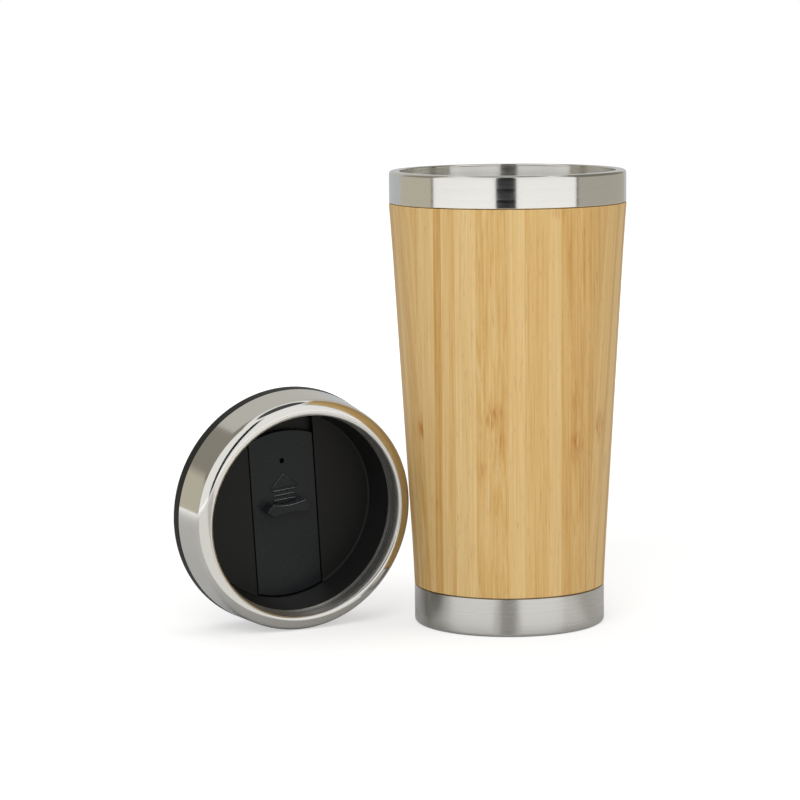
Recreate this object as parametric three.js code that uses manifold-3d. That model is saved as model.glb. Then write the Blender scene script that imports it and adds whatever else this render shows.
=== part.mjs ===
// A stainless steel tumbler in a turned bamboo sleeve, with its slide lid taken off and stood on edge
// beside it. Millimetres, +Z up. The origin is the middle of the tumbler's flat underside, and the
// open top of the lid faces -Y.

import * as THREE from 'three';
import { mergeVertices } from 'three/addons/utils/BufferGeometryUtils.js';
import Module from 'manifold-3d';

const wasm = await Module();
wasm.setup();

// Sheet, fits and facets
const SHEET = 0.8; // stainless sheet of the liner, bands and lid cover
const FIT = 0.3; // gap between pieces that seat on each other
const FACETS = 48; // sides of a turned piece
const CURVE_STEPS = 3; // straight runs in each rounded stretch of a turned piece
const ARC_STEPS = 8; // straight runs in each arc of a flat piece
const MERGE_DISTANCE = 1e-4; // points closer than this are one point

// Tumbler: overall height, steel rim band and steel foot
const HEIGHT = 163.5;
const RIM_RADIUS = 42.5;
const RIM_HEIGHT = 11.65;
const RIM_FLANGE = 3.7; // flat lip, from its outer edge in to the mouth
const RIM_ROUND = 1.1;
const MOUTH_ROUND = 0.4;
const FOOT_RADIUS = 34.4;
const FOOT_HEIGHT = 13.6;
const FOOT_ROUND = 1.2;

// Tumbler: bamboo sleeve and steel liner
const SLEEVE_PROUD = 0.1; // the bamboo stands out past the rim band
const SLEEVE_HOLLOW = 0.2; // its side is turned in by this between its ends
const SLEEVE_EASE = 12; // from each end to where it is turned in fully
const SLEEVE_FOOT_WALL = 4.9; // bamboo between the foot's face and the liner
const TENON_DEPTH = 8; // the bamboo reaches this far down into the foot
const MOUTH_DEPTH = 22; // flared mouth that takes the lid's plug
const MOUTH_DRAW = 1.6; // the mouth draws in by this over its depth
const LINER_FLOOR = 18; // the liner's underside above the table
const LINER_ROUND = 5;

// Lid: black flange and steel cover, with levels measured up from the flange's underside
const LID_OVERHANG = 1.25; // the flange reaches past the rim band
const LID_HEIGHT = 19.6; // up to the crest of the lip
const LID_TAPER = THREE.MathUtils.degToRad(5);
const FLANGE_HEIGHT = 3.8;
const SHOULDER_DROP = 4.1; // the wall turns in this far below the crest
const SHOULDER_PULL = 2.2; // how far the shoulder runs on before it bends
const CREST_PULL = 2.4; // how far the crest runs flat before it bends
const LIP_WIDTH = 2.1; // from the crest in to the foot of the flare
const LIP_PULL = 2; // how far the crest runs flat before it bends into the flare
const FLARE_DEPTH = 7.2; // the flare's foot below the crest
const FLARE_PULL = 5; // how far the flare runs straight up from its foot
const FLARE_LEAN = 0.2; // the flare opens out by this over that run

// Lid: plug, insert and seal
const PLUG_CLEARANCE = 1.3; // between the plug and the mouth
const PLUG_WALL = 1.5;
const PLUG_DEPTH = 10.5; // the plug's end below the flange
const PLUG_FLOOR = 2;
const SPIGOT_HEIGHT = 3; // ring on the flange that holds the cover
const SPIGOT_WALL = 2;
const SPIGOT_INSET = 1; // draws the ring in from the tapered cover
const RIB_HEIGHT = 1; // two ribs round the plug hold the seal
const RIB_REACH = 0.5;
const RIB_LEVEL = 3; // the upper rib's top below the flange
const SEAL_HEIGHT = 4; // between the ribs
const SEAL_LIPS = 2;
const SEAL_WEB = 0.7;
const SEAL_SQUEEZE = 0.4; // the lips reach past the mouth's wall before they are squeezed
const INSERT_WALL = 1.5;
const INSERT_SHELF = 1.6; // wide top that carries the cover's inner edge
const INSERT_SHELF_HEIGHT = 4;
const RECESS_DRAFT = 1.9; // the recess opens out by this from its floor to the steel
const FACE_LEVEL = 0.5; // the recess floor and the slider's face
const CHANNEL_DEPTH = 2.5; // from that face down to the plug's floor
const CHANNEL_END = 0.2; // the channel runs this far into the foot of the recess wall

// Lid: slider, with its long way up the lid
const SLIDER_WIDTH = 25.4;
const SLIDER_SIDE_GAP = 0.4; // groove that shows along each side
const SLIDER_END_GAP = 0.4;
const SLIDER_TRAVEL = 6.2;
const TONGUE_HEIGHT = 0.9; // thin edges that run under the recess floor
const TONGUE_REACH = 1;
const TONGUE_LENGTH = 50;
const TONGUE_RISE = 0.2; // from the slider's underside up to its tongues
const VENT_RADIUS = 1;
const VENT_UP = 16.6;
const DRINK_INNER_RADIUS = 27.8;
const DRINK_EDGE = 0.9; // from the drink opening out to the recess wall
const DRINK_HALF_ANGLE = THREE.MathUtils.degToRad(15);
const GRIP_HEIGHT = 4.5;
const GRIP_LENGTH = 18.8;
const GRIP_WIDTH = 5; // across its shoulders
const GRIP_WAIST = 3.2;
const GRIP_POINT = 2.8; // from the shoulders out to each pointed end
const GRIP_UP = -0.3;
const GRIP_BEVEL = 0.4;
const ARROW_BASE_UP = 6.6;
const ARROW_LENGTH = 5.5;
const ARROW_WIDTH = 11.6;
const MARK_HEIGHT = 0.4; // the arrow and the bars stand this far out of the face
const BAR_COUNT = 3;
const BAR_LENGTH = 8.6;
const BAR_WIDTH = 0.8;
const BAR_PITCH = 1.75;
const BAR_DROP = 0.9; // the first bar's middle below the arrow's base
const SINK = 0.5; // raised features start this far inside what carries them

// The lid's place: on its side wall, behind the tumbler's axis and close beside the bamboo
const LID_BEHIND = 33.7;
const LID_ROLL = THREE.MathUtils.degToRad(5.6);
const LID_STAND_GAP = 0.6;

// Worked-out sizes of the tumbler
const mouthRadius = RIM_RADIUS - RIM_FLANGE;
const sleeveTop = HEIGHT - RIM_HEIGHT;
const sleeveFoot = FOOT_HEIGHT + FIT;
const sleeveTopRadius = RIM_RADIUS + SLEEVE_PROUD;
const footBore = FOOT_RADIUS - SHEET;
const tenonRadius = footBore - FIT;
const tenonEnd = FOOT_HEIGHT - TENON_DEPTH;
const linerTop = HEIGHT - SHEET;
const linerSeatRadius = mouthRadius + SHEET;
const linerNeckRadius = linerSeatRadius - MOUTH_DRAW;
const linerFootRadius = FOOT_RADIUS - SLEEVE_FOOT_WALL - FIT;
const neckLevel = linerTop - MOUTH_DEPTH;

// Worked-out sizes of the lid
const lidRadius = RIM_RADIUS + LID_OVERHANG;
const coverFoot = FLANGE_HEIGHT + FIT;
const shoulderLevel = LID_HEIGHT - SHOULDER_DROP;
const flareLevel = LID_HEIGHT - FLARE_DEPTH;
const plugRadius = mouthRadius - PLUG_CLEARANCE;
const plugBore = plugRadius - PLUG_WALL;
const insertRadius = plugBore - FIT;
const recessRadius = insertRadius - INSERT_WALL;
const flareRadius = recessRadius + RECESS_DRAFT;
const crestRadius = flareRadius + LIP_WIDTH;
const sealRadius = mouthRadius + SEAL_SQUEEZE;
const channelFloor = FACE_LEVEL - CHANNEL_DEPTH;
const sliderFoot = channelFloor + FIT;
const insertTop = flareLevel - FIT;
const sliderReach = recessRadius - SLIDER_END_GAP;
const sliderHalf = SLIDER_WIDTH / 2;
const channelHalf = sliderHalf + SLIDER_SIDE_GAP;
const tongueFoot = sliderFoot + TONGUE_RISE;
const tongueTop = tongueFoot + TONGUE_HEIGHT;
const ribRadius = plugRadius + RIB_REACH;
const upperRibFoot = -RIB_LEVEL - RIB_HEIGHT;
const lowerRibTop = upperRibFoot - SEAL_HEIGHT;

/** Radius of the sleeve's outer face at a height. */
function sleeveRadius(z) {
  const share = (z - FOOT_HEIGHT) / (sleeveTop - FOOT_HEIGHT);
  const ease = Math.min(z - sleeveFoot, sleeveTop - z) / SLEEVE_EASE;
  const hollow = SLEEVE_HOLLOW * THREE.MathUtils.clamp(ease, 0, 1);
  return THREE.MathUtils.lerp(FOOT_RADIUS, sleeveTopRadius, share) - hollow;
}

/** Radius of the liner's outer face at a height below its mouth. */
function linerRadius(z) {
  const share = (z - LINER_FLOOR) / (neckLevel - LINER_FLOOR);
  return THREE.MathUtils.lerp(linerFootRadius, linerNeckRadius, share);
}

/** Radius of the lid's tapered side wall at a level. */
function lidWall(level) {
  return lidRadius - level * Math.tan(LID_TAPER);
}

/** Turns an outline of radius and height, run anticlockwise, about the Z axis. */
function turn(outline) {
  const geometry = new THREE.LatheGeometry(outline.getPoints(CURVE_STEPS), FACETS);
  return geometry.rotateX(Math.PI / 2);
}

/** Extrudes a shape upward from one level to another. */
function prism(shape, from, to) {
  const options = { depth: to - from, bevelEnabled: false, curveSegments: ARC_STEPS };
  return new THREE.ExtrudeGeometry(shape, options).translate(0, 0, from);
}

/** Box across the slider's way, by its half width, its length, its middle and two levels. */
function crossBox(half, length, middle, from, to) {
  const box = new THREE.BoxGeometry(2 * half, length, to - from);
  return box.translate(0, middle, (from + to) / 2);
}

/** Closed solid made of a geometry's faces. */
function solidOf(geometry) {
  const bare = new THREE.BufferGeometry();
  bare.setAttribute('position', geometry.getAttribute('position'));
  bare.setIndex(geometry.getIndex());
  const merged = mergeVertices(bare, MERGE_DISTANCE);
  const corners = merged.getIndex().array;
  const triangles = [];
  for (let first = 0; first < corners.length; first += 3) {
    const [a, b, c] = corners.slice(first, first + 3);
    if (a !== b && b !== c && c !== a) {
      triangles.push(a, b, c);
    }
  }
  const vertProperties = new Float32Array(merged.getAttribute('position').array);
  const mesh = new wasm.Mesh({ numProp: 3, vertProperties, triVerts: new Uint32Array(triangles) });
  return new wasm.Manifold(mesh);
}

/** Geometry of a solid's faces. */
function geometryOf(solid) {
  const mesh = solid.getMesh();
  const geometry = new THREE.BufferGeometry();
  geometry.setAttribute('position', new THREE.BufferAttribute(mesh.vertProperties, 3));
  geometry.setIndex(new THREE.BufferAttribute(mesh.triVerts, 1));
  geometry.computeVertexNormals();
  return geometry;
}

/** Joins geometries into one and cuts others out of it. */
function carve(joined, cut) {
  let solid = solidOf(joined[0]);
  for (const geometry of joined.slice(1)) {
    solid = solid.add(solidOf(geometry));
  }
  for (const geometry of cut) {
    solid = solid.subtract(solidOf(geometry));
  }
  return geometryOf(solid);
}

/** Strip along the slider's way between two equal arcs, the upper one lowered by a distance. */
function strip(half, radius, lowered) {
  const reach = Math.asin(half / radius);
  const shape = new THREE.Shape();
  shape.absarc(0, 0, radius, -Math.PI / 2 - reach, -Math.PI / 2 + reach, false);
  shape.absarc(0, -lowered, radius, Math.PI / 2 - reach, Math.PI / 2 + reach, false);
  return shape;
}

/** Named piece with its own surface. */
function piece(name, geometry, look) {
  const mesh = new THREE.Mesh(geometry, new THREE.MeshStandardMaterial(look));
  mesh.name = name;
  return mesh;
}

const POLISHED_STEEL = { color: 0xcfcfcd, roughness: 0.18, metalness: 1 };
const BRUSHED_STEEL = { color: 0xbdbdba, roughness: 0.38, metalness: 1 };
const BAMBOO = { color: 0xd3ab6d, roughness: 0.5, metalness: 0 };
const BLACK_PLASTIC = { color: 0x262727, roughness: 0.45, metalness: 0 };
const GREY_PLASTIC = { color: 0x8b8d8c, roughness: 0.6, metalness: 0 };
const SILICONE = { color: 0x3b3c3d, roughness: 0.7, metalness: 0 };

/** Drawn steel cup: flat floor, tapered wall and a flared mouth for the lid's plug. */
function linerGeometry() {
  const roundTop = LINER_FLOOR + LINER_ROUND;
  const wallStart = linerRadius(roundTop);
  const outline = new THREE.Path();
  outline.moveTo(0, LINER_FLOOR);
  outline.lineTo(linerFootRadius - LINER_ROUND, LINER_FLOOR);
  outline.quadraticCurveTo(linerFootRadius, LINER_FLOOR, wallStart, roundTop);
  outline.lineTo(linerNeckRadius, neckLevel);
  outline.lineTo(linerSeatRadius, linerTop);
  outline.lineTo(mouthRadius, linerTop);
  outline.lineTo(linerNeckRadius - SHEET, neckLevel);
  outline.lineTo(wallStart - SHEET, roundTop);
  outline.quadraticCurveTo(
    linerFootRadius - SHEET,
    LINER_FLOOR + SHEET,
    linerFootRadius - LINER_ROUND,
    LINER_FLOOR + SHEET,
  );
  outline.lineTo(0, LINER_FLOOR + SHEET);
  return turn(outline);
}

/** Steel collar: skirt over the bamboo's upper tenon and a flat lip in to the mouth. */
function rimBandGeometry() {
  const skirtFoot = sleeveTop + FIT;
  const outline = new THREE.Path();
  outline.moveTo(RIM_RADIUS - SHEET, skirtFoot);
  outline.lineTo(RIM_RADIUS, skirtFoot);
  outline.lineTo(RIM_RADIUS, HEIGHT - RIM_ROUND);
  outline.quadraticCurveTo(RIM_RADIUS, HEIGHT, RIM_RADIUS - RIM_ROUND, HEIGHT);
  outline.lineTo(mouthRadius + MOUTH_ROUND, HEIGHT);
  outline.quadraticCurveTo(mouthRadius, HEIGHT, mouthRadius, HEIGHT - MOUTH_ROUND);
  outline.lineTo(mouthRadius, linerTop);
  outline.lineTo(RIM_RADIUS - SHEET, linerTop);
  outline.closePath();
  return turn(outline);
}

/** Turned bamboo tube, with a tenon into the rim band and one into the foot. */
function sleeveGeometry() {
  const upperTenonRadius = RIM_RADIUS - SHEET - FIT;
  const upperTenonEnd = linerTop - FIT;
  const outline = new THREE.Path();
  outline.moveTo(linerFootRadius + FIT, tenonEnd);
  outline.lineTo(tenonRadius, tenonEnd);
  outline.lineTo(tenonRadius, sleeveFoot);
  outline.lineTo(sleeveRadius(sleeveFoot), sleeveFoot);
  for (const z of [sleeveFoot + SLEEVE_EASE, sleeveTop - SLEEVE_EASE]) {
    outline.lineTo(sleeveRadius(z), z);
  }
  outline.lineTo(sleeveTopRadius, sleeveTop);
  outline.lineTo(upperTenonRadius, sleeveTop);
  outline.lineTo(upperTenonRadius, upperTenonEnd);
  outline.lineTo(linerSeatRadius + FIT, upperTenonEnd);
  outline.lineTo(linerNeckRadius + FIT, neckLevel);
  outline.lineTo(linerFootRadius + FIT, LINER_FLOOR);
  outline.closePath();
  return turn(outline);
}

/** Moulded core that fills the foot and carries the liner. */
function coreGeometry() {
  const outline = new THREE.Path();
  outline.moveTo(0, SHEET);
  outline.lineTo(tenonRadius, SHEET);
  outline.lineTo(tenonRadius, tenonEnd);
  outline.lineTo(linerFootRadius, tenonEnd);
  outline.lineTo(linerFootRadius, LINER_FLOOR);
  outline.lineTo(0, LINER_FLOOR);
  return turn(outline);
}

/** Brushed steel foot: a shallow cup over the core and the bamboo's lower tenon. */
function footGeometry() {
  const outline = new THREE.Path();
  outline.moveTo(0, 0);
  outline.lineTo(FOOT_RADIUS - FOOT_ROUND, 0);
  outline.quadraticCurveTo(FOOT_RADIUS, 0, FOOT_RADIUS, FOOT_ROUND);
  outline.lineTo(FOOT_RADIUS, FOOT_HEIGHT);
  outline.lineTo(footBore, FOOT_HEIGHT);
  outline.lineTo(footBore, SHEET);
  outline.lineTo(0, SHEET);
  return turn(outline);
}

/** Steel lid cover: tapered wall, rounded lip and the flare that leads in to the recess. */
function coverGeometry() {
  const shoulderRadius = lidWall(shoulderLevel);
  const footRadius = lidWall(coverFoot);
  const crestInside = LID_HEIGHT - SHEET;
  const outline = new THREE.Path();
  outline.moveTo(footRadius, coverFoot);
  outline.lineTo(shoulderRadius, shoulderLevel);
  outline.bezierCurveTo(
    lidWall(shoulderLevel + SHOULDER_PULL),
    shoulderLevel + SHOULDER_PULL,
    crestRadius + CREST_PULL,
    LID_HEIGHT,
    crestRadius,
    LID_HEIGHT,
  );
  outline.bezierCurveTo(
    crestRadius - LIP_PULL,
    LID_HEIGHT,
    flareRadius + FLARE_LEAN,
    flareLevel + FLARE_PULL,
    flareRadius,
    flareLevel,
  );
  outline.lineTo(flareRadius + SHEET, flareLevel);
  outline.bezierCurveTo(
    flareRadius + FLARE_LEAN + SHEET,
    flareLevel + FLARE_PULL,
    crestRadius - LIP_PULL + SHEET / 2,
    crestInside,
    crestRadius,
    crestInside,
  );
  outline.bezierCurveTo(
    crestRadius + CREST_PULL,
    crestInside,
    lidWall(shoulderLevel + SHOULDER_PULL) - SHEET,
    shoulderLevel + SHOULDER_PULL,
    shoulderRadius - SHEET,
    shoulderLevel,
  );
  outline.lineTo(footRadius - SHEET, coverFoot);
  outline.closePath();
  return turn(outline);
}

/** Drink opening: a stretch of a ring at the slider's lower end. */
function drinkOpening() {
  const outer = recessRadius - DRINK_EDGE;
  const start = -Math.PI / 2 - DRINK_HALF_ANGLE;
  const end = -Math.PI / 2 + DRINK_HALF_ANGLE;
  const shape = new THREE.Shape();
  shape.absarc(0, 0, outer, start, end, false);
  shape.absarc(0, 0, DRINK_INNER_RADIUS, end, start, true);
  return prism(shape, channelFloor - PLUG_FLOOR - SINK, channelFloor + SINK);
}

/** Round vent through a plate, at a distance up the slider's way. */
function vent(up, from, to) {
  const hole = new THREE.Shape();
  hole.absarc(0, up, VENT_RADIUS, 0, Math.PI, false);
  hole.absarc(0, up, VENT_RADIUS, Math.PI, 2 * Math.PI, false);
  return prism(hole, from, to);
}

/** Black plug: flange, skirt with two ribs for the seal, and the floor that the slider runs on. */
function plugGeometry() {
  const spigotRadius = lidWall(coverFoot) - SHEET - SPIGOT_INSET;
  const spigotTop = FLANGE_HEIGHT + SPIGOT_HEIGHT;
  const floorFoot = channelFloor - PLUG_FLOOR;
  const outline = new THREE.Path();
  outline.moveTo(0, floorFoot);
  outline.lineTo(plugBore, floorFoot);
  outline.lineTo(plugBore, -PLUG_DEPTH);
  outline.lineTo(plugRadius, -PLUG_DEPTH);
  for (const ribTop of [lowerRibTop, -RIB_LEVEL]) {
    outline.lineTo(plugRadius, ribTop - RIB_HEIGHT);
    outline.lineTo(ribRadius, ribTop - RIB_HEIGHT);
    outline.lineTo(ribRadius, ribTop);
    outline.lineTo(plugRadius, ribTop);
  }
  outline.lineTo(plugRadius, 0);
  outline.lineTo(lidRadius, 0);
  outline.lineTo(lidWall(FLANGE_HEIGHT), FLANGE_HEIGHT);
  outline.lineTo(spigotRadius, FLANGE_HEIGHT);
  outline.lineTo(spigotRadius, spigotTop);
  outline.lineTo(spigotRadius - SPIGOT_WALL, spigotTop);
  outline.lineTo(spigotRadius - SPIGOT_WALL, FLANGE_HEIGHT);
  outline.lineTo(plugBore, FLANGE_HEIGHT);
  outline.lineTo(plugBore, channelFloor);
  outline.lineTo(0, channelFloor);
  const ventUp = VENT_UP + SLIDER_TRAVEL;
  const ventHole = vent(ventUp, floorFoot - SINK, channelFloor + SINK);
  return carve([turn(outline)], [drinkOpening(), ventHole]);
}

/** Silicone seal: a band between the plug's ribs with soft lips round it. */
function sealGeometry() {
  const bore = plugRadius + FIT;
  const bandRadius = bore + SEAL_WEB;
  const foot = lowerRibTop + FIT;
  const height = SEAL_HEIGHT - 2 * FIT;
  const pitch = height / SEAL_LIPS;
  const outline = new THREE.Path();
  outline.moveTo(bore, foot);
  for (let lip = 0; lip < SEAL_LIPS; lip += 1) {
    const start = foot + lip * pitch;
    outline.lineTo(bandRadius, start);
    outline.lineTo(sealRadius, start + pitch / 2);
  }
  outline.lineTo(bandRadius, foot + height);
  outline.lineTo(bore, foot + height);
  outline.closePath();
  return turn(outline);
}

/** Black insert: recess wall and two floor panels that hold the slider down by its edges. */
function insertGeometry() {
  const shelfRadius = flareRadius + INSERT_SHELF;
  const outline = new THREE.Path();
  outline.moveTo(0, sliderFoot);
  outline.lineTo(insertRadius, sliderFoot);
  outline.lineTo(insertRadius, coverFoot);
  outline.lineTo(shelfRadius, insertTop - INSERT_SHELF_HEIGHT);
  outline.lineTo(shelfRadius, insertTop);
  outline.lineTo(flareRadius, insertTop);
  outline.lineTo(recessRadius, FACE_LEVEL);
  outline.lineTo(0, FACE_LEVEL);
  const endRadius = recessRadius + CHANNEL_END;
  const channel = prism(strip(channelHalf, endRadius, 0), sliderFoot - SINK, FACE_LEVEL + SINK);
  const undercutHalf = channelHalf + TONGUE_REACH;
  const undercutLength = TONGUE_LENGTH + SLIDER_TRAVEL + 2 * SLIDER_END_GAP;
  const undercut = crossBox(undercutHalf, undercutLength, 0, sliderFoot - SINK, tongueTop + FIT);
  return carve([turn(outline)], [channel, undercut]);
}

/** Thumb grip: a bar with pointed ends and a drawn-in waist, rounded over at its top edge. */
function gripGeometry() {
  const tip = GRIP_LENGTH / 2;
  const shoulder = tip - GRIP_POINT;
  const side = GRIP_WIDTH / 2;
  const waist = GRIP_WAIST - side;
  const shape = new THREE.Shape();
  shape.moveTo(-tip, 0);
  shape.lineTo(-shoulder, -side);
  shape.quadraticCurveTo(0, -waist, shoulder, -side);
  shape.lineTo(tip, 0);
  shape.lineTo(shoulder, side);
  shape.quadraticCurveTo(0, waist, -shoulder, side);
  shape.closePath();
  const options = {
    depth: GRIP_HEIGHT + SINK - GRIP_BEVEL,
    bevelThickness: GRIP_BEVEL,
    bevelSize: GRIP_BEVEL,
    bevelOffset: -GRIP_BEVEL,
    bevelSegments: 2,
    curveSegments: ARC_STEPS,
  };
  return new THREE.ExtrudeGeometry(shape, options).translate(0, GRIP_UP, FACE_LEVEL - SINK);
}

/** Raised push mark: an arrow head above a row of bars. */
function markGeometries() {
  const foot = FACE_LEVEL - SINK;
  const top = FACE_LEVEL + MARK_HEIGHT;
  const arrow = new THREE.Shape();
  arrow.moveTo(-ARROW_WIDTH / 2, ARROW_BASE_UP);
  arrow.lineTo(ARROW_WIDTH / 2, ARROW_BASE_UP);
  arrow.lineTo(0, ARROW_BASE_UP + ARROW_LENGTH);
  arrow.closePath();
  const marks = [prism(arrow, foot, top)];
  for (let bar = 0; bar < BAR_COUNT; bar += 1) {
    const up = ARROW_BASE_UP - BAR_DROP - bar * BAR_PITCH;
    marks.push(crossBox(BAR_LENGTH / 2, BAR_WIDTH, up, foot, top));
  }
  return marks;
}

/** Slider: plate with thin side tongues, a vent, a push mark and a thumb grip. */
function sliderGeometry() {
  const plate = prism(strip(sliderHalf, sliderReach, SLIDER_TRAVEL), sliderFoot, FACE_LEVEL);
  const tongueHalf = sliderHalf + TONGUE_REACH;
  const tongues = crossBox(tongueHalf, TONGUE_LENGTH, -SLIDER_TRAVEL / 2, tongueFoot, tongueTop);
  const ventHole = vent(VENT_UP, sliderFoot - SINK, FACE_LEVEL + SINK);
  return carve([plate, tongues, gripGeometry(), ...markGeometries()], [ventHole]);
}

/** Distance along X that keeps the standing lid clear of the tumbler's side. */
function lidPlaceX(lidZ) {
  const tipCos = Math.cos(LID_TAPER);
  const tipSin = Math.sin(LID_TAPER);
  const circles = [
    [sealRadius, -PLUG_DEPTH],
    [lidRadius, 0],
    [lidWall(shoulderLevel), shoulderLevel],
    [crestRadius, LID_HEIGHT],
  ];
  let place = 0;
  for (const [radius, level] of circles) {
    for (let side = 0; side < FACETS; side += 1) {
      const turnAngle = (2 * Math.PI * side) / FACETS;
      const across = radius * Math.cos(turnAngle);
      const up = radius * Math.sin(turnAngle);
      const y = LID_BEHIND - up * tipSin - level * tipCos;
      const z = lidZ + up * tipCos - level * tipSin;
      const keepOut = tumblerRadius(z) + LID_STAND_GAP;
      if (Math.abs(y) < keepOut) {
        place = Math.min(place, -across - Math.sqrt(keepOut * keepOut - y * y));
      }
    }
  }
  return place;
}

/** Radius of the tumbler's outer face at a height. */
function tumblerRadius(z) {
  if (z < FOOT_HEIGHT) {
    return FOOT_RADIUS;
  }
  return z < sleeveTop ? sleeveRadius(z) : sleeveTopRadius;
}

const tumbler = new THREE.Group();
tumbler.add(
  piece('inner_liner', linerGeometry(), POLISHED_STEEL),
  piece('rim_band', rimBandGeometry(), POLISHED_STEEL),
  piece('bamboo_sleeve', sleeveGeometry(), BAMBOO),
  piece('base_core', coreGeometry(), GREY_PLASTIC),
  piece('base_foot', footGeometry(), BRUSHED_STEEL),
);

// The lid stands on its tapered wall, so it tips forward by the taper
const lidPieces = new THREE.Group();
lidPieces.rotation.z = LID_ROLL;
lidPieces.add(
  piece('lid_cover', coverGeometry(), POLISHED_STEEL),
  piece('lid_insert', insertGeometry(), BLACK_PLASTIC),
  piece('lid_plug', plugGeometry(), BLACK_PLASTIC),
  piece('lid_seal', sealGeometry(), SILICONE),
  piece('lid_slider', sliderGeometry(), BLACK_PLASTIC),
);
const lid = new THREE.Group();
const lidZ = lidRadius * Math.cos(LID_TAPER);
lid.rotation.x = Math.PI / 2 + LID_TAPER;
lid.position.set(lidPlaceX(lidZ), LID_BEHIND, lidZ);
lid.add(lidPieces);

const assembly = new THREE.Group();
assembly.add(tumbler, lid);

export default assembly;
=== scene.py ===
"""Dressed model of a steel tumbler in a bamboo sleeve, with its slide lid stood on edge beside it.

Sizes in the classes are millimetres and become metres where a mesh is made; the studio's own sizes
are metres. The lid is modelled about its own axis, open top up, and then put where it stands.
"""

import logging
import math
from dataclasses import dataclass, field
from enum import Enum
from typing import Callable

import bmesh
import bpy
from bpy.types import Material, Node, NodeSocket, NodeTree, Object
from mathutils import Matrix, Vector


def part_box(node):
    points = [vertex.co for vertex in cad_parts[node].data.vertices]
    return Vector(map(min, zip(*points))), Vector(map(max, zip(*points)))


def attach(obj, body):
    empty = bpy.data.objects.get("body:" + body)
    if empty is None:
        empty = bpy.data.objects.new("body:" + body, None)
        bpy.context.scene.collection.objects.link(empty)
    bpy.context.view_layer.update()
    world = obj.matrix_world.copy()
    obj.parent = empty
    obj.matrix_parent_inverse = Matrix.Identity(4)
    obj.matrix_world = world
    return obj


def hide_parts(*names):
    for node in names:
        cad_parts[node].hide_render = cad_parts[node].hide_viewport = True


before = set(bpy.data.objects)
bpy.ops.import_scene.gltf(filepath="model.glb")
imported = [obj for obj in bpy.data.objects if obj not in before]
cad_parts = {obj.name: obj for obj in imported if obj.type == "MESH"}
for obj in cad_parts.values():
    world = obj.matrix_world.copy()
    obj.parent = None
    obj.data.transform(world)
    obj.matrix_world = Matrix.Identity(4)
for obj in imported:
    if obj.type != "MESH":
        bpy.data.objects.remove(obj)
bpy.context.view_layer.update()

LOG = logging.getLogger("tumbler")
MM = 0.001
AROUND = 192  # steps in a full turn of a turned piece
FEW, SOME, MANY = 3, 5, 8  # facets across a small, a middling and a large rounding
CLOSE = 1e-6  # points nearer than this, in metres, are one point
NEAR = 10 * CLOSE  # slack for a point that is picked by its level or side
FLAT = math.radians(0.2)  # faces that meet at less than this become one
ASIDE = (0.31, 0.17, 0.23)  # point in metres that hardly any two points are equally far from
NOISE_MIDDLE = 0.5
WHITE = "#ffffff"

Test = Callable[[Vector], bool]
Triple = tuple[float, float, float]


class Body(Enum):
    """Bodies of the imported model."""

    TUMBLER = "tumbler"
    LID = "lid"
    SLIDER = "slider"


class Mode(Enum):
    """What a piece is taken up for."""

    OBJECT = "OBJECT"
    EDIT = "EDIT"


class Axis(Enum):
    """Axis that a turned piece's brush lines run round."""

    Y = "Y"
    Z = "Z"


class Element(Enum):
    """What an edit-mode selection takes hold of."""

    VERT = "VERT"
    EDGE = "EDGE"
    FACE = "FACE"


class Fit(Enum):
    """How one shape meets another."""

    JOIN = "UNION"
    CUT = "DIFFERENCE"


def linear(code: str) -> tuple[float, float, float, float]:
    """Turns an sRGB hex colour into linear light.

    Args:
        code: Colour as #rrggbb.

    Returns:
        Linear red, green and blue, and a full alpha.
    """
    shares = (int(code[i : i + 2], 16) / 255 for i in (1, 3, 5))
    red, green, blue = (s / 12.92 if s <= 0.04045 else ((s + 0.055) / 1.055) ** 2.4 for s in shares)
    return red, green, blue, 1.0


def add_node(
    tree: NodeTree, kind: str, inputs: dict[str | int, object] | None = None, **settings: object
) -> Node:
    """Adds a node with its settings, values and links.

    Args:
        tree: Node tree that gets the node.
        kind: Type of the node, as Blender names it after ShaderNode.
        inputs: Value, socket or node for an input's name or number; a node gives its first output.
        **settings: Properties of the node itself.

    Returns:
        The new node.
    """
    made = tree.nodes.new("ShaderNode" + kind)
    for name, value in settings.items():
        setattr(made, name, value)
    for key, value in (inputs or {}).items():
        if isinstance(value, Node):
            value = value.outputs[0]
        if isinstance(value, NodeSocket):
            tree.links.new(value, made.inputs[key])
        else:
            made.inputs[key].default_value = value
    return made


def new_tree(name: str) -> tuple[Material, NodeTree]:
    """Makes an empty node material.

    Args:
        name: Name of the material.

    Returns:
        The material and its empty node tree.
    """
    material = bpy.data.materials.new(name)
    material.use_nodes = True
    material.node_tree.nodes.clear()
    return material, material.node_tree


# Modelling by operators


def set_mode(mode: Mode) -> None:
    """Opens the active piece for editing, or closes it."""
    bpy.ops.object.mode_set(mode=mode.value)


def clear_bench() -> None:
    """Leaves edit mode and lets go of everything that is selected."""
    if bpy.context.mode != Mode.OBJECT.value:
        set_mode(Mode.OBJECT)
    bpy.ops.object.select_all(action="DESELECT")


def take_up(piece: Object, mode: Mode = Mode.OBJECT) -> None:
    """Makes one piece the selected and active one.

    Args:
        piece: Piece to work on.
        mode: Whether it is opened for editing.
    """
    clear_bench()
    piece.select_set(True)
    bpy.context.view_layer.objects.active = piece
    set_mode(mode)


def take_all() -> None:
    """Selects the whole of the mesh that is open for editing."""
    bpy.ops.mesh.select_all(action="SELECT")


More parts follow.
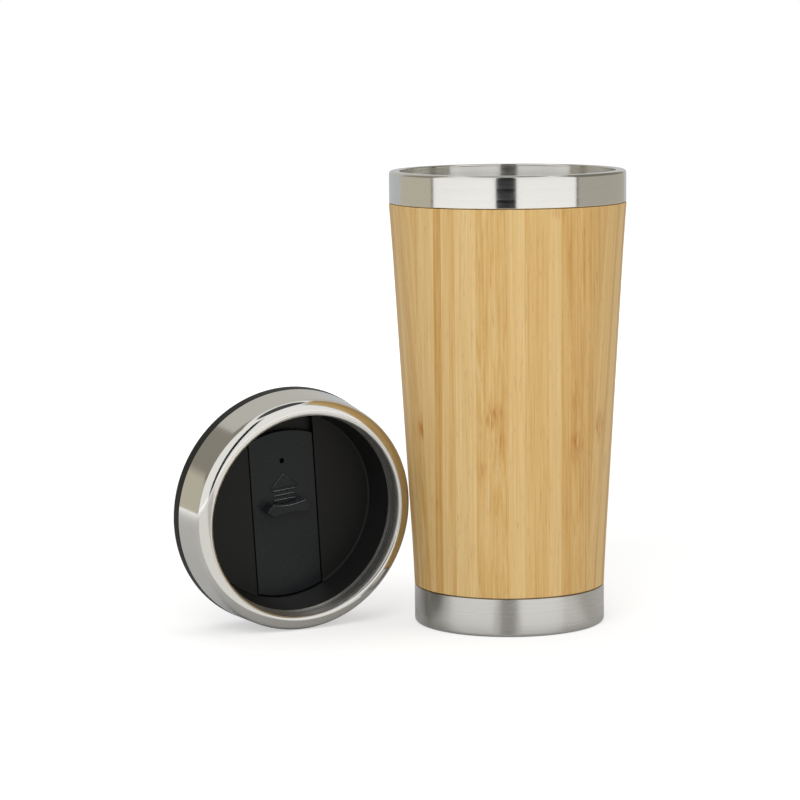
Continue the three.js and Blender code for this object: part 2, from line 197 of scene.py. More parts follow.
def pick(element: Element, test: Test) -> None:
    """Selects in edit mode the elements whose points all pass a test of their place.

    Args:
        element: Kind of element to select.
        test: Says of a point in metres whether it is taken.
    """
    bpy.ops.mesh.select_mode(type=element.value)
    bpy.ops.mesh.select_all(action="DESELECT")
    mesh = bpy.context.edit_object.data
    shape = bmesh.from_edit_mesh(mesh)
    if element is Element.VERT:
        for point in shape.verts:
            point.select = test(point.co)
    else:
        for item in shape.edges if element is Element.EDGE else shape.faces:
            item.select = all(test(point.co) for point in item.verts)
    shape.select_flush_mode()
    bmesh.update_edit_mesh(mesh)


def start_piece(name: str) -> Object:
    """Names the primitive that was just added and opens it for editing.

    Args:
        name: Name of the piece.

    Returns:
        The piece, in edit mode with everything selected.
    """
    piece = bpy.context.active_object
    piece.name = piece.data.name = name
    bpy.ops.object.transform_apply(location=True, rotation=True, scale=True)
    set_mode(Mode.EDIT)
    bpy.ops.mesh.select_mode(type=Element.VERT.value)
    take_all()
    return piece


def merge_close() -> None:
    """Makes one point of points that lie together in the mesh that is open for editing.

    The merge leaves a chance order, so the mesh is then sorted, and each run gives the same one.
    """
    take_all()
    bpy.ops.mesh.remove_doubles(threshold=CLOSE)
    take_all()
    cursor = bpy.context.scene.cursor
    cursor.location = ASIDE
    bpy.ops.mesh.sort_elements(type="CURSOR_DISTANCE", elements={"VERT", "EDGE", "FACE"})
    cursor.location = (0, 0, 0)


def face_outwards() -> None:
    """Turns every face of the mesh that is open for editing outwards."""
    take_all()
    bpy.ops.mesh.normals_make_consistent(inside=False)


def cut_away(place: Triple, outward: Triple) -> None:
    """Cuts off what lies beyond a plane and closes the cut.

    Args:
        place: Point of the plane, in metres.
        outward: Direction of what is cut off.
    """
    take_all()
    bpy.ops.mesh.bisect(plane_co=place, plane_no=outward, use_fill=True, clear_outer=True)


@dataclass(frozen=True)
class Corner:
    """Corner of a turned outline: radius, level and rounding in millimetres."""

    radius: float
    level: float
    rounding: float = 0.0
    steps: int = 4

    def point(self) -> Vector:
        """Point of the corner in metres, on the outline's plane."""
        return Vector((self.radius * MM, 0, self.level * MM))


def bend(start: Corner, pull: Corner, push: Corner, end: Corner, steps: int) -> list[Corner]:
    """Runs a smooth curve from one corner to another.

    Args:
        start: Where the curve leaves.
        pull: Direction in which it leaves.
        push: Direction from which it arrives.
        end: Where it arrives.
        steps: Straight runs in the curve.

    Returns:
        Corners along the curve, both ends included.
    """
    marks = [Vector((c.radius, c.level)) for c in (start, pull, push, end)]
    curve = []
    for i in range(steps + 1):
        t = i / steps
        shares = ((1 - t) ** 3, 3 * t * (1 - t) ** 2, 3 * t * t * (1 - t), t**3)
        at = sum((m * s for m, s in zip(marks, shares)), Vector((0, 0)))
        curve.append(Corner(at.x, at.y))
    return curve


def draw_outline(name: str, corners: list[Corner], closed: bool) -> Object:
    """Draws an outline point by point and rounds its corners.

    Args:
        name: Name of the piece.
        corners: Corners in order.
        closed: Whether the last corner joins the first.

    Returns:
        The piece in edit mode, a chain of edges.
    """
    clear_bench()
    bpy.ops.mesh.primitive_plane_add(size=MM, location=corners[0].point())
    piece = start_piece(name)
    bpy.ops.mesh.merge(type="CENTER")
    for last, corner in zip(corners, corners[1:]):
        step = corner.point() - last.point()
        bpy.ops.mesh.extrude_vertices_move(TRANSFORM_OT_translate={"value": step})
    if closed:
        ends = (corners[0].point(), corners[-1].point())
        pick(Element.VERT, lambda at: any((at - e).length < CLOSE for e in ends))
        bpy.ops.mesh.edge_face_add()
    for corner in corners:
        if corner.rounding:
            pick(Element.VERT, lambda at: (at - corner.point()).length < CLOSE)
            width = corner.rounding * MM
            bpy.ops.mesh.bevel(offset=width, segments=corner.steps, affect="VERTICES")
    return piece


def turn(name: str, corners: list[Corner], closed: bool = True) -> Object:
    """Turns an outline about the vertical axis into a closed solid.

    Args:
        name: Name of the piece.
        corners: Outline of radius and level; an open one starts and ends on the axis.
        closed: Whether the outline is a ring's own closed one.

    Returns:
        The turned piece.
    """
    piece = draw_outline(name, corners, closed)
    take_all()
    bpy.ops.mesh.spin(steps=AROUND, angle=math.tau, center=(0, 0, 0), axis=(0, 0, 1))
    merge_close()
    face_outwards()
    set_mode(Mode.OBJECT)
    return piece


def fit(piece: Object, tool: Object, how: Fit) -> None:
    """Joins a shape to a piece or cuts it out; the shape is used up.

    Args:
        piece: Piece that stays.
        tool: Shape that is joined or cut out.
        how: Join or cut.
    """
    take_up(piece)
    modifier = piece.modifiers.new("fit", "BOOLEAN")
    modifier.operation = how.value
    modifier.solver = "EXACT"
    modifier.object = tool
    bpy.ops.object.modifier_apply(modifier=modifier.name)
    bpy.data.objects.remove(tool, do_unlink=True)
    set_mode(Mode.EDIT)
    merge_close()
    set_mode(Mode.OBJECT)


def smooth(piece: Object, angle: float = 32.0) -> None:
    """Shades a piece smooth up to an edge angle, with flat stretches kept flat.

    Args:
        piece: Piece to shade.
        angle: Edges sharper than this, in degrees, stay sharp.
    """
    take_up(piece)
    bpy.ops.object.shade_smooth_by_angle(angle=math.radians(angle))
    modifier = piece.modifiers.new("even_shading", "WEIGHTED_NORMAL")
    modifier.keep_sharp = True
    bpy.ops.object.modifier_apply(modifier=modifier.name)


def cylinder(
    name: str, radius: float, foot: float, top: float, middle: float = 0.0, steps: int = AROUND
) -> Object:
    """Makes an upright round block on the slider's way.

    Args:
        name: Name of the piece.
        radius: Its radius.
        foot: Level of its underside.
        top: Level of its upper side.
        middle: Its middle along the slider's way.
        steps: Facets round it.

    Returns:
        The block in edit mode.
    """
    clear_bench()
    bpy.ops.mesh.primitive_cylinder_add(
        vertices=steps,
        radius=radius * MM,
        depth=(top - foot) * MM,
        location=(0, middle * MM, (top + foot) / 2 * MM),
    )
    return start_piece(name)


def strip_plate(
    name: str, half: float, radius: float, lowered: float, foot: float, top: float
) -> Object:
    """Makes a plate with straight sides between two arcs, the upper arc lowered.

    Args:
        name: Name of the piece.
        half: Half of its width.
        radius: Radius of both arcs.
        lowered: How far the upper arc is moved down.
        foot: Level of its underside.
        top: Level of its face.

    Returns:
        The plate in edit mode.
    """
    piece = cylinder(name, radius, foot, top)
    for side in (-1, 1):
        cut_away((side * half * MM, 0, 0), (side, 0, 0))
    pick(Element.VERT, lambda at: at.y > 0)
    bpy.ops.transform.translate(value=(0, -lowered * MM, 0))
    return piece


def box(name: str, half: float, length: float, middle: float, foot: float, top: float) -> Object:
    """Makes a bar that lies across the slider's way.

    Args:
        name: Name of the piece.
        half: Half of its size across.
        length: Its size along the slider's way.
        middle: Its middle along that way.
        foot: Level of its underside.
        top: Level of its upper side.

    Returns:
        The bar in edit mode.
    """
    clear_bench()
    bpy.ops.mesh.primitive_cube_add(size=MM, location=(0, middle * MM, (foot + top) / 2 * MM))
    piece = start_piece(name)
    bpy.ops.transform.resize(value=(2 * half, length, top - foot))
    return piece


def round_top(top: float, offset: float) -> None:
    """Rounds the edges round the upper face of the piece that is open for editing.

    Args:
        top: Level of the upper face.
        offset: Width of the rounding.
    """
    pick(Element.EDGE, lambda at: abs(at.z - top * MM) < NEAR)
    bpy.ops.mesh.bevel(offset=offset * MM, segments=FEW, affect="EDGES")


# Finishes


@dataclass(frozen=True)
class Grounds:
    """Frame that a finish's pattern is laid in: its middle in metres and its turn."""

    middle: Triple = (0.0, 0.0, 0.0)
    turned: Triple = (0.0, 0.0, 0.0)

    def lay(self, tree: NodeTree) -> Node:
        """Adds the nodes that give a point in this frame, in metres.

        Args:
            tree: Node tree that gets the nodes.

        Returns:
            Node that gives the point.
        """
        spot = add_node(tree, "TexCoord").outputs["Object"]
        values = {"Vector": spot, "Location": self.middle, "Rotation": self.turned}
        return add_node(tree, "Mapping", values, vector_type="TEXTURE")


@dataclass(frozen=True)
class Steel:
    """Stainless steel sheet, drawn and then polished or brushed on a lathe.

    The eye gets mirror stripes of the room, drawn out along the piece's axis by fine lines that
    run round it. The lines are under 0.1 mm in the real sheet; line_mm is as coarse as shows.
    """

    name: str
    colour: str = "#e3e1dc"
    dark_line: str = "#d9d7d2"
    roughness: float = 0.2
    line_roughness: float = 0.08
    line_mm: float = 0.45
    streak_mm: float = 160.0
    depth_mm: float = 0.0006
    anisotropy: float = 0.8
    axis: Axis = Axis.Z
    grounds: Grounds = Grounds()

    def make(self) -> Material:
        """Builds the node material.

        Returns:
            The material.
        """
        material, tree = new_tree(self.name)
        long, short = 1 / (self.streak_mm * MM), 1 / (self.line_mm * MM)
        values = {"Vector": self.grounds.lay(tree), "Scale": (long, long, short)}
        along = add_node(tree, "Mapping", values)
        values = {"Vector": along, "Scale": 1.0, "Detail": 3.0, "Roughness": 0.65}
        lines = add_node(tree, "TexNoise", values)
        values = {
            "Value": lines,
            "From Min": 0.3,
            "From Max": 0.7,
            "To Min": self.roughness - self.line_roughness,
            "To Max": self.roughness + self.line_roughness,
        }
        spread = add_node(tree, "MapRange", values)
        values = {0: lines, 6: linear(self.dark_line), 7: linear(self.colour)}
        tint = add_node(tree, "Mix", values, data_type="RGBA")
        values = {"Strength": 0.5, "Distance": self.depth_mm * MM, "Height": lines}
        relief = add_node(tree, "Bump", values)
        values = {
            "Base Color": tint.outputs[2],
            "Metallic": 1.0,
            "Roughness": spread,
            "Anisotropic": self.anisotropy,
            "Anisotropic Rotation": 0.25,
            "Tangent": add_node(tree, "Tangent", direction_type="RADIAL", axis=self.axis.value),
            "Normal": relief,
        }
        shader = add_node(tree, "BsdfPrincipled", values)
        add_node(tree, "OutputMaterial", {"Surface": shader})
        return material


@dataclass(frozen=True)
class Moulding:
    """Moulded plastic or rubber with the faint spark-eroded grain of its mould.

    The eye gets a soft sheen without clear reflections and a slightly cloudy colour.
    """

    name: str
    colour: str
    cloud: str
    roughness: float = 0.45
    cloud_roughness: float = 0.08
    sheen_level: float = 0.3
    grain_mm: float = 0.35
    grain_depth_mm: float = 0.006
    cloud_mm: float = 14.0
    grounds: Grounds = Grounds()

    def make(self) -> Material:
        """Builds the node material.

        Returns:
            The material.
        """
        material, tree = new_tree(self.name)
        spot = self.grounds.lay(tree)
        values = {"Vector": spot, "Scale": 1 / (self.grain_mm * MM), "Detail": 2.0}
        grain = add_node(tree, "TexNoise", values)
        values |= {"Scale": 1 / (self.cloud_mm * MM), "Detail": 4.0, "Roughness": 0.6}
        clouds = add_node(tree, "TexNoise", values)
        values = {0: clouds, 6: linear(self.colour), 7: linear(self.cloud)}
        tint = add_node(tree, "Mix", values, data_type="RGBA")
        low, high = self.roughness - self.cloud_roughness, self.roughness + self.cloud_roughness
        spread = add_node(tree, "MapRange", {"Value": clouds, "To Min": low, "To Max": high})
        values = {"Strength": 0.4, "Distance": self.grain_depth_mm * MM, "Height": grain}
        relief = add_node(tree, "Bump", values)
        values = {
            "Base Color": tint.outputs[2],
            "Roughness": spread,
            "Specular IOR Level": self.sheen_level,
            "Normal": relief,
        }
        shader = add_node(tree, "BsdfPrincipled", values)
        add_node(tree, "OutputMaterial", {"Surface": shader})
        return material


@dataclass(frozen=True)
class Strip:
    """Bamboo strip in the glued blank: its width, its tone and how much flame grain it shows."""

    width: float
    tone: float
    flame: float


@dataclass(frozen=True)
class Knot:
    """Node of the cane that shows in a strip: place across the blank, height and half sizes."""

    across: float
    height: float
    half_width: float
    half_height: float
    strength: float


FRONT_STRIPS = (
    Strip(1.8, 0.42, 0.3),
    Strip(5.7, 0.68, 0.1),
    Strip(2.7, 0.30, 0.25),
    Strip(3.0, 0.66, 0.1),
    Strip(2.2, 0.46, 0.3),
    Strip(7.4, 0.72, 0.25),
    Strip(11.0, 0.5, 0.9),
    Strip(5.6, 0.70, 0.1),
    Strip(8.6, 0.52, 0.25),
    Strip(4.4, 0.68, 0.05),
    Strip(3.6, 0.38, 0.3),
    Strip(4.7, 0.42, 0.7),
    Strip(7.3, 0.40, 0.25),
)
SPARE_STRIPS = (
    Strip(6.2, 0.55, 0.3),
    Strip(4.1, 0.66, 0.1),
    Strip(8.3, 0.48, 0.6),
    Strip(3.2, 0.36, 0.2),
    Strip(5.5, 0.60, 0.15),
    Strip(9.0, 0.50, 0.8),
    Strip(2.8, 0.68, 0.1),
    Strip(6.6, 0.45, 0.3),
    Strip(4.4, 0.62, 0.1),
    Strip(7.2, 0.52, 0.5),
    Strip(3.6, 0.38, 0.2),
    Strip(7.1, 0.58, 0.3),
)
KNOTS = (
    Knot(29.3, 79.0, 4.6, 5.5, 0.75),
    Knot(31.0, 70.0, 3.0, 7.0, 0.4),
    Knot(58.0, 67.3, 3.0, 6.5, 0.8),
    Knot(58.0, 82.0, 2.2, 9.0, 0.4),
    Knot(24.3, 59.7, 3.4, 4.0, 0.35),
    Knot(8.0, 46.0, 2.6, 4.5, 0.25),
    Knot(51.3, 150.5, 3.0, 2.5, 0.4),
    Knot(97.0, 73.6, 2.6, 5.5, 0.9),
    Knot(269.3, 73.7, 3.2, 6.5, 0.7),
    Knot(275.3, 60.0, 1.6, 4.0, 0.4),
    Knot(118.0, 104.0, 2.6, 5.5, 0.6),
    Knot(196.0, 88.0, 3.2, 6.0, 0.7),
    Knot(214.0, 52.0, 2.6, 5.0, 0.5),
    Knot(296.0, 118.0, 2.8, 5.5, 0.6),
)


@dataclass(frozen=True)
class Bamboo:
    """Laminated bamboo, glued from flat strips, turned, sanded and given a satin lacquer.

    The eye gets upright strips of slightly different honey tones, fine fibres and short pores
    along them, flame grain where the turning crosses a strip, and brown speckled cane nodes.
    The blank is four boards; in each the strips lie side by side, so their edges are parallel.
    """

    name: str
    deep: str = "#c0904b"
    honey: str = "#d4ae6f"
    pale: str = "#e2c48b"
    pore: str = "#94622f"
    knot: str = "#b06c28"
    tones: Triple = (0.12, 0.5, 0.9)  # where the first three colours are reached
    turned: float = math.radians(29.8)
    board_share: float = 1.35  # a board's half width over its distance from the axis
    board_offset: float = 85.0  # millimetres between the boards' places in the row of strips
    fibre_mm: float = 0.55  # real fibres are 0.2 to 0.4 mm; drawn coarse enough to show
    fibre_length_mm: float = 40.0
    fibre_contrast: float = 0.8
    fibre_depth_mm: float = 0.03
    pore_mm: float = 0.5
    pore_length_mm: float = 5.5
    flame_mm: float = 2.6
    flame_length_mm: float = 24.0
    flame_contrast: float = 0.9
    seed_step: float = 41.0  # takes the grain of two strips far apart in the noise

    def row(self, tree: NodeTree) -> tuple[Node, NodeSocket]:
        """Lays the four boards out side by side.

        Args:
            tree: Node tree that gets the nodes.

        Returns:
            The place across the row of strips and the height, both in millimetres.
        """
        spot = add_node(tree, "TexCoord").outputs["Object"]
        values = {"Vector": spot, "Rotation": (0, 0, self.turned), "Scale": (1 / MM,) * 3}
        parts = add_node(tree, "SeparateXYZ", {0: add_node(tree, "Mapping", values)})
        across, deep, height = parts.outputs
        across_size = add_node(tree, "Math", {0: across}, operation="ABSOLUTE")
        deep_size = add_node(tree, "Math", {0: deep}, operation="ABSOLUTE")
        values = {0: deep_size, 1: self.board_share}
        reach = add_node(tree, "Math", values, operation="MULTIPLY")
        side = add_node(tree, "Math", {0: across_size, 1: reach}, operation="GREATER_THAN")
        along = add_node(tree, "Mix", {0: side, 2: across, 3: deep})
        out = add_node(tree, "Mix", {0: side, 2: deep, 3: across})
        far = add_node(tree, "Math", {0: out, 1: 0.0}, operation="GREATER_THAN")
        board = add_node(tree, "Math", {0: far, 1: 2.0, 2: side}, operation="MULTIPLY_ADD")
        half_row = sum(strip.width for strip in FRONT_STRIPS) / 2
        centred = add_node(tree, "Math", {0: along, 1: half_row}, operation="ADD")
        values = {0: board, 1: self.board_offset, 2: centred}
        return add_node(tree, "Math", values, operation="MULTIPLY_ADD"), height

    def strips(self, tree: NodeTree, place: Node) -> Node:
        """Adds the row of strips as a ramp.

        Args:
            tree: Node tree that gets the nodes.
            place: Place across the row of strips, in millimetres.

        Returns:
            Node that gives the tone in its colour and the flame grain in its alpha.
        """
        row = FRONT_STRIPS + SPARE_STRIPS
        length = sum(strip.width for strip in row)
        wrapped = add_node(tree, "Math", {0: place, 1: length, 2: 0.0}, operation="WRAP")
        share = add_node(tree, "Math", {0: wrapped, 1: length}, operation="DIVIDE")
        ramp = add_node(tree, "ValToRGB", {"Fac": share})
        ramp.color_ramp.interpolation = "CONSTANT"
        stops = ramp.color_ramp.elements
        stops.remove(stops[1])
        start = 0.0
        for index, strip in enumerate(row):
            stop = stops[0] if index == 0 else stops.new(start / length)
            stop.color = (strip.tone, strip.tone, strip.tone, strip.flame)
            start += strip.width
        return ramp

    def grain(
        self,
        tree: NodeTree,
        place: Node,
        height: NodeSocket,
        seed: NodeSocket,
        size: tuple[float, float],
        detail: float,
        distortion: float = 0.0,
    ) -> Node:
        """Adds noise that is drawn out along the strips.

        Args:
            tree: Node tree that gets the nodes.
            place: Place across the row of strips, in millimetres.
            height: Height, in millimetres.
            seed: Value that differs from strip to strip.
            size: Width and length of the grain, in millimetres.
            detail: Finer layers in the noise.
            distortion: How much the grain wanders.

        Returns:
            The noise node.
        """
        width, length = size
        parts = (
            add_node(tree, "Math", {0: place, 1: width}, operation="DIVIDE"),
            add_node(tree, "Math", {0: seed, 1: self.seed_step}, operation="MULTIPLY"),
            add_node(tree, "Math", {0: height, 1: length}, operation="DIVIDE"),
        )
        spot = add_node(tree, "CombineXYZ", dict(enumerate(parts)))
        values = {"Vector": spot, "Scale": 1.0, "Detail": detail, "Distortion": distortion}
        return add_node(tree, "TexNoise", values)

    def knots(self, tree: NodeTree, place: Node, height: NodeSocket, streaks: Node) -> Node:
        """Adds the cane nodes as soft spots that the fibres break up.

        Args:
            tree: Node tree that gets the nodes.
            place: Place across the row of strips, in millimetres.
            height: Height, in millimetres.
            streaks: Fibre noise that the spots follow.

        Returns:
            Node that gives the strength of the brown.
        """
        spot = add_node(tree, "CombineXYZ", {0: place, 1: height})
        total = None
        for knot in KNOTS:
            values = {0: spot, 1: (knot.across, knot.height, 0)}
            away = add_node(tree, "VectorMath", values, operation="SUBTRACT")
            values = {0: away, 1: (1 / knot.half_width, 1 / knot.half_height, 0)}
            sized = add_node(tree, "VectorMath", values, operation="MULTIPLY")
            near = add_node(tree, "VectorMath", {0: sized}, operation="LENGTH").outputs["Value"]
            values = {"Value": near, "From Min": 0.1, "From Max": 1.3}
            values |= {"To Min": knot.strength, "To Max": 0.0}
            soft = add_node(tree, "MapRange", values, interpolation_type="SMOOTHSTEP")
            if total is None:
                total = soft
            else:
                total = add_node(tree, "Math", {0: total, 1: soft}, operation="ADD")
        values = {"Value": streaks, "From Min": 0.4, "From Max": 0.62, "To Min": 0.1, "To Max": 1.0}
        broken = add_node(tree, "MapRange", values)
        return add_node(tree, "Math", {0: total, 1: broken}, operation="MULTIPLY")

    def shade(self, tree: NodeTree, ramp: Node, fibres: Node, flames: Node) -> Node:
        """Adds the colour of the strips with their fibres and flame grain.

        Args:
            tree: Node tree that gets the nodes.
            ramp: Tone and flame grain of the strips.
            fibres: Noise of the fibres.
            flames: Noise of the flame grain.

        Returns:
            Node that gives the colour.
        """
        tone, flame = ramp.outputs["Color"], ramp.outputs["Alpha"]
        middle = add_node(tree, "Math", {0: fibres, 1: NOISE_MIDDLE}, operation="SUBTRACT")
        values = {0: middle, 1: self.fibre_contrast, 2: tone}
        shade = add_node(tree, "Math", values, operation="MULTIPLY_ADD")
        flicker = add_node(tree, "Math", {0: flames, 1: NOISE_MIDDLE}, operation="SUBTRACT")
        flicker = add_node(tree, "Math", {0: flicker, 1: flame}, operation="MULTIPLY")
        values = {0: flicker, 1: self.flame_contrast, 2: shade}
        shade = add_node(tree, "Math", values, operation="MULTIPLY_ADD")
        colours = add_node(tree, "ValToRGB", {"Fac": shade})
        low, middle, high = self.tones
        stops = colours.color_ramp.elements
        stops[0].position, stops[0].color = low, linear(self.deep)
        stops[1].position, stops[1].color = high, linear(self.pale)
        stops.new(middle).color = linear(self.honey)
        return colours

    def make(self) -> Material:
        """Builds the node material.

        Returns:
            The material.
        """
        material, tree = new_tree(self.name)
        place, height = self.row(tree)
        ramp = self.strips(tree, place)
        strip = (tree, place, height, ramp.outputs["Color"])
        fibres = self.grain(*strip, (self.fibre_mm, self.fibre_length_mm), detail=4.0)
        pores = self.grain(*strip, (self.pore_mm, self.pore_length_mm), detail=2.0)
        size = (self.flame_mm, self.flame_length_mm)
        flames = self.grain(*strip, size, detail=3.0, distortion=1.2)
        colours = self.shade(tree, ramp, fibres, flames)
        values = {"Value": pores, "From Min": 0.6, "From Max": 0.78, "To Min": 0.0, "To Max": 0.3}
        values = {0: add_node(tree, "MapRange", values), 6: colours, 7: linear(self.pore)}
        pored = add_node(tree, "Mix", values, data_type="RGBA").outputs[2]
        brown = self.knots(tree, place, height, pores)
        values = {0: brown, 6: pored, 7: linear(self.knot)}
        knotted = add_node(tree, "Mix", values, data_type="RGBA").outputs[2]
        gloss = add_node(tree, "MapRange", {"Value": fibres, "To Min": 0.5, "To Max": 0.38})
        values = {"Strength": 0.25, "Distance": self.fibre_depth_mm * MM, "Height": fibres}
        relief = add_node(tree, "Bump", values)
        values = {"Base Color": knotted, "Roughness": gloss, "Normal": relief}
        shader = add_node(tree, "BsdfPrincipled", values | {"Specular IOR Level": 0.25})
        add_node(tree, "OutputMaterial", {"Surface": shader})
        return material


def dress(piece: Object, body: Body, node: str, material: Material) -> None:
    """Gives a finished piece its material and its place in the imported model.

    Args:
        piece: Finished piece.
        body: Body that it moves with.
        node: CAD node that it stands for.
        material: Its finish.
    """
    piece.data.materials.clear()
    piece.data.materials.append(material)
    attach(piece, body.value)
    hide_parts(node)
    LOG.info("%s stands for %s: %d faces", piece.name, node, len(piece.data.polygons))


# Sub-assemblies


@dataclass
class Tumbler:
    """Steel liner, rim band and foot in a turned bamboo sleeve, on a moulded core."""

    sheet: float = 0.8
    seam: float = 0.3
    mouth: float = 38.8
    rim_round: float = 1.1
    mouth_round: float = 0.4
    edge_round: float = 0.25
    foot_round: float = 1.2
    mouth_depth: float = 22.0
    mouth_draw: float = 1.6
    hollow: float = 0.2  # the bamboo's side is turned in by this between its ends
    ease: float = 12.0
    ease_round: float = 6.0
    liner_inset: float = 4.9  # the liner's foot lies this far inside the steel foot
    liner_round: float = 5.0
    base_hollow: float = 0.3
    base_ring: float = 5.0
    ring_slope: float = 1.0
    ring_round: float = 0.3
    height: float = field(init=False)
    rim: float = field(init=False)
    rim_foot: float = field(init=False)
    foot: float = field(init=False)
    foot_top: float = field(init=False)
    sleeve: float = field(init=False)
    sleeve_low: float = field(init=False)
    sleeve_high: float = field(init=False)
    liner_floor: float = field(init=False)
    liner_foot: float = field(init=False)

    def __post_init__(self) -> None:
        """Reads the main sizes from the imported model."""
        low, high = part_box("rim_band")
        self.rim, self.rim_foot, self.height = high.x / MM, low.z / MM, high.z / MM
        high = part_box("base_foot")[1]
        self.foot, self.foot_top = high.x / MM, high.z / MM
        low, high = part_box("bamboo_sleeve")
        self.sleeve, self.sleeve_low, self.sleeve_high = high.x / MM, low.z / MM, high.z / MM
        self.liner_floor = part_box("inner_liner")[0].z / MM
        self.liner_foot = self.foot - self.liner_inset - self.seam

    def make_liner(self) -> Object:
        """Turns the drawn cup with its flared mouth for the lid's plug.

        Returns:
            The cup.
        """
        top = self.height - self.sheet
        neck_level = top - self.mouth_depth
        neck = self.mouth - self.mouth_draw
        inner_round = self.liner_round - self.sheet
        outline = [
            Corner(0, self.liner_floor),
            Corner(self.liner_foot, self.liner_floor, self.liner_round, MANY),
            Corner(neck + self.sheet, neck_level),
            Corner(self.mouth + self.sheet, top),
            Corner(self.mouth, top),
            Corner(neck, neck_level),
            Corner(self.liner_foot - self.sheet, self.liner_floor + self.sheet, inner_round, MANY),
            Corner(0, self.liner_floor + self.sheet),
        ]
        return turn("liner_cup", outline, closed=False)

    def make_rim(self) -> Object:
        """Turns the collar with its flat lip.

        Returns:
            The collar.
        """
        under = self.height - self.sheet
        inside = self.rim - self.sheet
        outline = [
            Corner(inside, self.rim_foot),
            Corner(self.rim, self.rim_foot, self.edge_round, FEW),
            Corner(self.rim, self.height, self.rim_round, MANY),
            Corner(self.mouth, self.height, self.mouth_round, SOME),
            Corner(self.mouth, under),
            Corner(inside, under),
        ]
        return turn("rim_collar", outline)

    def make_sleeve(self) -> Object:
        """Turns the bamboo tube with a tenon at each end.

        Returns:
            The tube.
        """
        top = self.rim_foot - self.seam
        foot = self.foot_top + self.seam
        tenon = self.foot - self.sheet - self.seam
        upper = self.rim - self.sheet - self.seam
        bore = self.mouth + self.sheet + self.seam
        neck_level = self.height - self.sheet - self.mouth_depth
        rise = (self.sleeve - self.foot) * self.ease / (top - foot)
        low, high = self.foot + rise, self.sleeve - rise
        outline = [
            Corner(self.liner_foot + self.seam, self.sleeve_low),
            Corner(tenon, self.sleeve_low),
            Corner(tenon, foot),
            Corner(self.foot, foot, self.edge_round, FEW),
            Corner(low - self.hollow, foot + self.ease, self.ease_round),
            Corner(high - self.hollow, top - self.ease, self.ease_round),
            Corner(self.sleeve, top, self.edge_round, FEW),
            Corner(upper, top),
            Corner(upper, self.sleeve_high),
            Corner(bore, self.sleeve_high),
            Corner(bore - self.mouth_draw, neck_level),
            Corner(self.liner_foot + self.seam, self.liner_floor),
        ]
        return turn("bamboo_tube", outline)

    def make_foot(self) -> Object:
        """Turns the foot cup, its underside a little hollow so that it stands on a ring.

        Returns:
            The cup.
        """
        ring = self.foot - self.base_ring
        bore = self.foot - self.sheet
        outline = [
            Corner(0, self.base_hollow),
            Corner(ring - self.ring_slope, self.base_hollow, self.ring_round),
            Corner(ring, 0, self.ring_round),
            Corner(self.foot, 0, self.foot_round, MANY),
            Corner(self.foot, self.foot_top, self.edge_round, FEW),
            Corner(bore, self.foot_top),
            Corner(bore, self.sheet),
            Corner(0, self.sheet),
        ]
        return turn("foot_cup", outline, closed=False)

    def build(self) -> None:
        """Makes the pieces and dresses them; the hidden core keeps its own mesh."""
        drawn = Steel("drawn_stainless", line_roughness=0.06, line_mm=0.6, anisotropy=0.85)
        polished = Steel("polished_stainless", roughness=0.14, line_roughness=0.05, anisotropy=0.72)
        brushed = Steel(
            "satin_brushed_stainless",
            colour="#e0deda",
            dark_line="#cccac6",
            roughness=0.32,
            depth_mm=0.001,
            anisotropy=0.95,
        )
        core = Moulding("moulded_polypropylene", "#8b8d8c", "#7e807f", roughness=0.55)
        bamboo = Bamboo("laminated_bamboo_satin_lacquer")
        for piece, node, slot, finish in (
            (self.make_liner(), "inner_liner", "liner_steel", drawn),
            (self.make_rim(), "rim_band", "rim_steel", polished),
            (self.make_sleeve(), "bamboo_sleeve", "bamboo", bamboo),
            (self.make_foot(), "base_foot", "foot_steel", brushed),
        ):
            smooth(piece)
            dress(piece, Body.TUMBLER, node, finish.make())
        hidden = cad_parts["base_core"]
        hidden.data.materials.clear()
        hidden.data.materials.append(core.make())
        LOG.info("%s keeps its CAD mesh", hidden.name)


